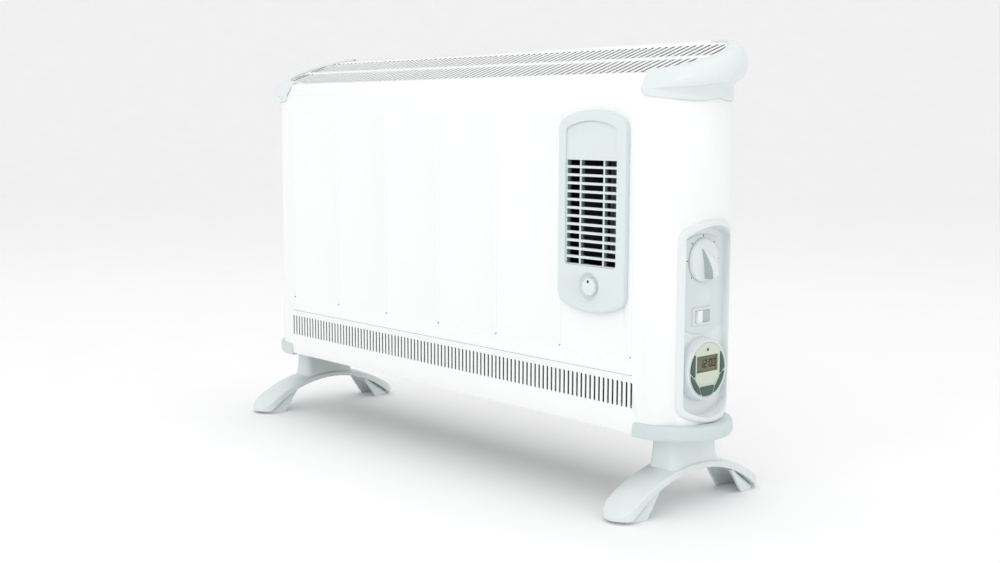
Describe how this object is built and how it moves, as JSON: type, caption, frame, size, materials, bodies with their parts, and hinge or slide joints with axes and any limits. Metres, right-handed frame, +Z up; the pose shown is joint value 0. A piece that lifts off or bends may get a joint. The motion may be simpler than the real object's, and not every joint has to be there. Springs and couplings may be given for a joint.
{
  "type": "fan convector heater",
  "caption": "Free-standing white steel fan convector heater with slotted top, front fan louvre, end control panel with timer, and two arched plastic feet.",
  "frame": {"origin": "on the floor, midway between the two feet", "axes": "+X along the heater towards its control end, -Y out of the front face, +Z up"},
  "size_m": [0.686, 0.2006, 0.4286],
  "materials": {
    "casing_steel": "smooth white stove enamel over steel sheet",
    "grille_steel": "white stove enamel, slotted",
    "cap_plastic": "pale cool grey moulded plastic, semi-gloss",
    "foot_plastic": "pale cool grey moulded plastic, semi-gloss",
    "bezel_plastic": "pale cool grey moulded plastic, satin",
    "frame_plastic": "pale cool grey moulded plastic, semi-gloss",
    "panel_plastic": "pale cool grey moulded plastic, fine satin",
    "knob_plastic": "pale grey moulded plastic",
    "rocker_plastic": "white moulded plastic",
    "ring_plastic": "pale grey moulded plastic, satin",
    "dial_plastic": "pale green-grey moulded plastic",
    "key_plastic": "dark green-grey key tops",
    "display_glass": "dark olive liquid-crystal display behind clear plastic",
    "board_laminate": "green circuit board laminate",
    "black_plastic": "black heat-proof moulding",
    "zinc_steel": "zinc-coated steel",
    "element_sheath": "dull oxidised steel sheath and fins",
    "ceramic": "unglazed white steatite",
    "bearing_bronze": "sintered bronze",
    "bright_steel": "ground steel",
    "lamination_steel": "stacked electrical steel",
    "winding_copper": "enamelled copper winding under tape"
  },
  "bodies": {
    "heater": {"base_pan": "zinc_steel", "base_trim_left": "cap_plastic", "base_trim_right": "cap_plastic", "cable_gland": "black_plastic", "cap_screws": "zinc_steel", "ceramic_bushes": "ceramic", "control_frame": "frame_plastic", "control_plate": "panel_plastic", "element_bracket_left": "zinc_steel", "element_bracket_right": "zinc_steel", "element_front": "element_sheath", "element_rear": "element_sheath", "end_cap_left": "cap_plastic", "end_cap_right": "cap_plastic", "fan_bearings": "bearing_bronze", "fan_bezel": "bezel_plastic", "fan_end_plate_high": "zinc_steel", "fan_end_plate_low": "zinc_steel", "fan_louvre": "bezel_plastic", "fan_partition": "zinc_steel", "fan_scroll": "zinc_steel", "fan_switch": "black_plastic", "foot_left": "foot_plastic", "foot_nuts": "zinc_steel", "foot_right": "foot_plastic", "foot_screws": "zinc_steel", "front_baffle": "zinc_steel", "front_casing": "casing_steel", "motor_bracket": "zinc_steel", "motor_coil": "winding_copper", "motor_stator": "lamination_steel", "rear_baffle": "zinc_steel", "rear_panel": "casing_steel", "rear_panel_screws": "zinc_steel", "rocker_switch_body": "panel_plastic", "terminal_block": "black_plastic", "thermal_cutout": "black_plastic", "thermostat_body": "black_plastic", "timer_board": "board_laminate", "timer_case": "black_plastic", "timer_display": "display_glass", "timer_face": "dial_plastic", "timer_ring": "ring_plastic", "top_grille": "grille_steel"},
    "thermostat_knob": {"thermostat_knob": "knob_plastic"},
    "heat_rocker": {"heat_rocker": "rocker_plastic"},
    "fan_knob": {"fan_knob": "knob_plastic"},
    "fan_rotor": {"fan_impeller": "black_plastic", "fan_shaft": "bright_steel", "motor_rotor": "lamination_steel"},
    "timer_key_bottom": {"timer_key_bottom": "key_plastic"},
    "timer_key_low_left": {"timer_key_low_left": "key_plastic"},
    "timer_key_low_right": {"timer_key_low_right": "key_plastic"},
    "timer_key_up_left": {"timer_key_up_left": "key_plastic"},
    "timer_key_up_right": {"timer_key_up_right": "key_plastic"}
  },
  "joints": [
    {"name": "thermostat_turn", "type": "hinge", "parent": "heater", "child": "thermostat_knob", "pos_m": [0.3123, -0.005, 0.229], "axis": [1, 0, 0], "range_deg": [-135, 135]},
    {"name": "rocker_tilt", "type": "hinge", "parent": "heater", "child": "heat_rocker", "pos_m": [0.309, -0.005, 0.178], "axis": [0, 0, 1], "range_deg": [-16, 0]},
    {"name": "fan_knob_turn", "type": "hinge", "parent": "heater", "child": "fan_knob", "pos_m": [0.22575, -0.0593, 0.2007], "axis": [0, -1, 0], "range_deg": [-60, 60]},
    {"name": "fan_spin", "type": "hinge", "parent": "heater", "child": "fan_rotor", "pos_m": [0.22575, -0.005, 0.282], "axis": [0, 0, 1], "continuous": true},
    {"name": "key_bottom_press", "type": "slide", "parent": "heater", "child": "timer_key_bottom", "axis": [-1, 0, 0], "range_m": [0, 0.0008], "stiffness_N_per_m": 400},
    {"name": "key_low_left_press", "type": "slide", "parent": "heater", "child": "timer_key_low_left", "axis": [-1, 0, 0], "range_m": [0, 0.0008], "stiffness_N_per_m": 400},
    {"name": "key_low_right_press", "type": "slide", "parent": "heater", "child": "timer_key_low_right", "axis": [-1, 0, 0], "range_m": [0, 0.0008], "stiffness_N_per_m": 400},
    {"name": "key_up_left_press", "type": "slide", "parent": "heater", "child": "timer_key_up_left", "axis": [-1, 0, 0], "range_m": [0, 0.0008], "stiffness_N_per_m": 400},
    {"name": "key_up_right_press", "type": "slide", "parent": "heater", "child": "timer_key_up_right", "axis": [-1, 0, 0], "range_m": [0, 0.0008], "stiffness_N_per_m": 400}
  ]
}
